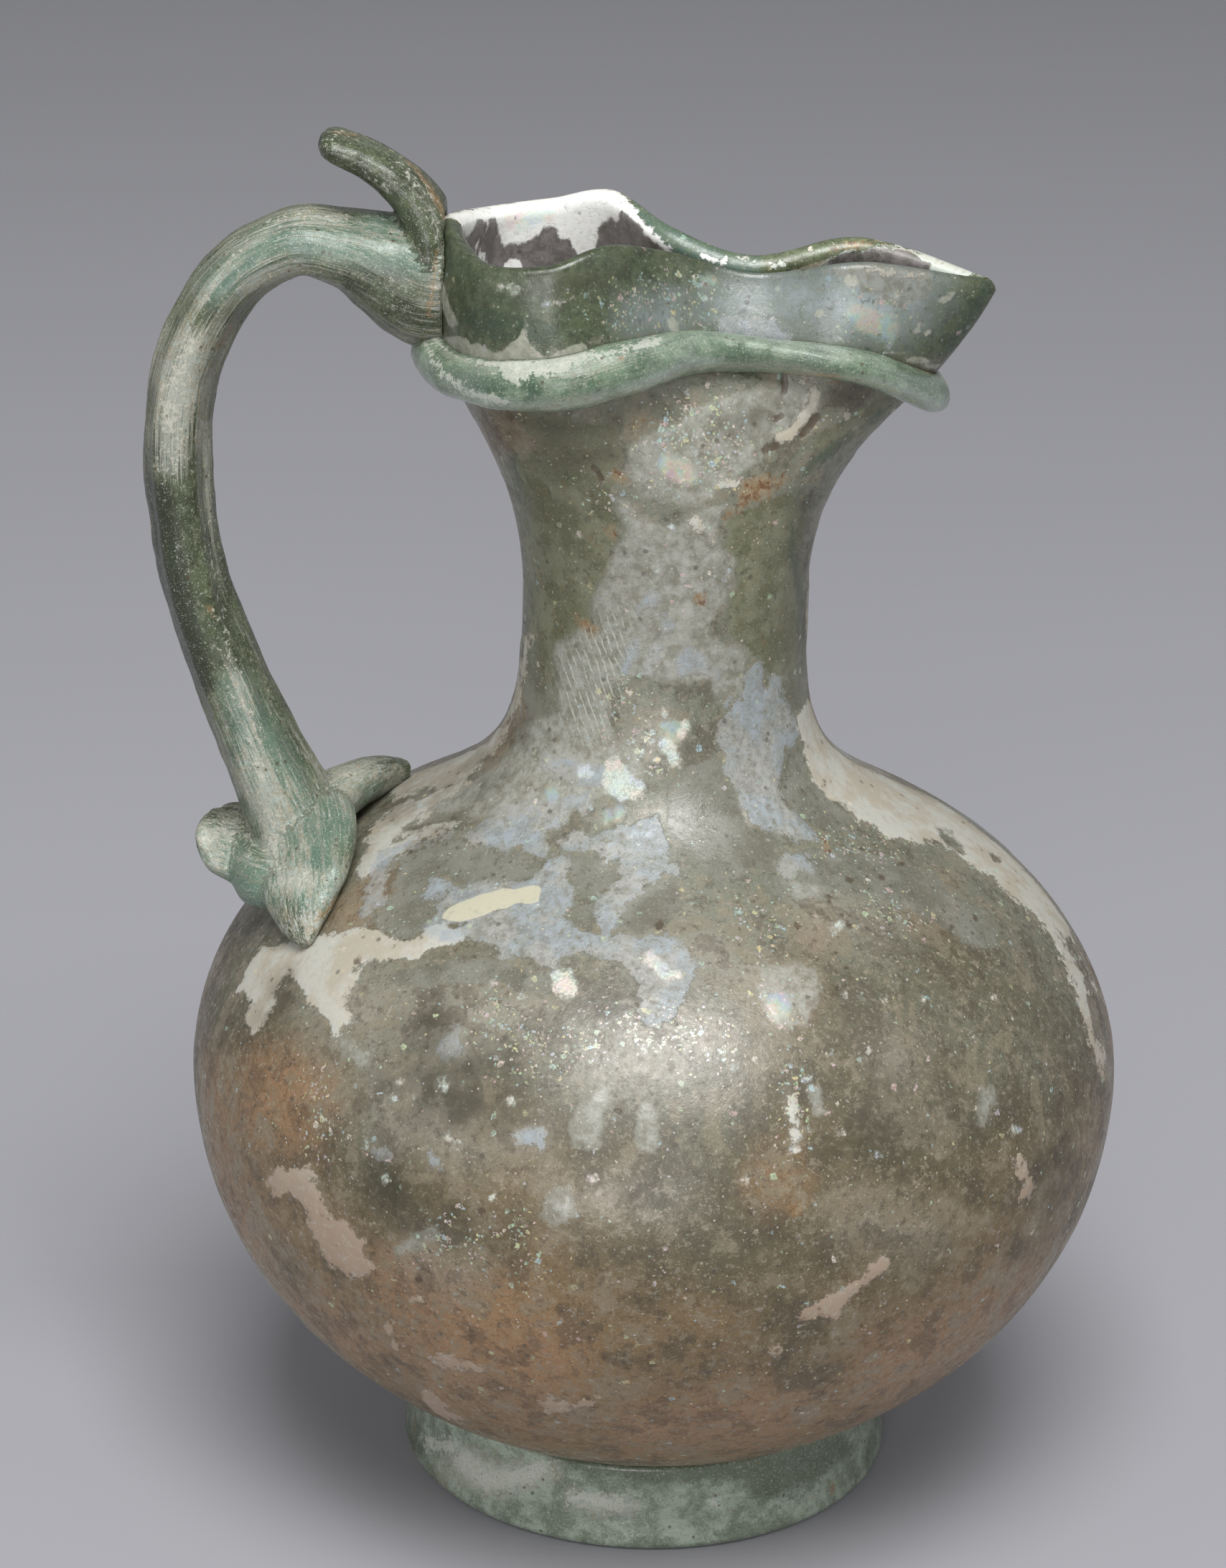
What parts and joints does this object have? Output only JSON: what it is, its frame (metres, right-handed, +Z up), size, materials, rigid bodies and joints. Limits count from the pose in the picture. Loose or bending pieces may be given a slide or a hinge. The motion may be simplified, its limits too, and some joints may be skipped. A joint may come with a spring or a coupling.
{
  "type": "glass jug",
  "caption": "Hand-blown glass jug on a foot ring, with a round body, narrow neck, pinched trefoil mouth, thread under the rim and a strap handle with a thumb rest.",
  "frame": {"origin": "centre of the bounding box's bottom face, on the surface the foot ring stands on; the vessel's axis of turning is 1.45 mm from it towards +X", "axes": "+Z up along the vessel's axis, +X towards the spout, -X towards the handle, Y across"},
  "size_m": [0.0768, 0.074, 0.109],
  "materials": {
    "vessel": "pale green blown glass under a grey-olive weathering film with ragged whitish enamel patches and iridescence",
    "foot_ring": "grey-green glass with frosted white patches and a clearer lower edge",
    "mouth_trail": "clear blue-green glass with a cream weathered upper edge",
    "handle": "dark blue-green drawn glass with long cream weathering streaks and brown crust at its ends"
  },
  "bodies": {
    "root": {"vessel": "vessel", "foot_ring": "foot_ring", "mouth_trail": "mouth_trail", "handle": "handle"}
  },
  "joints": []
}
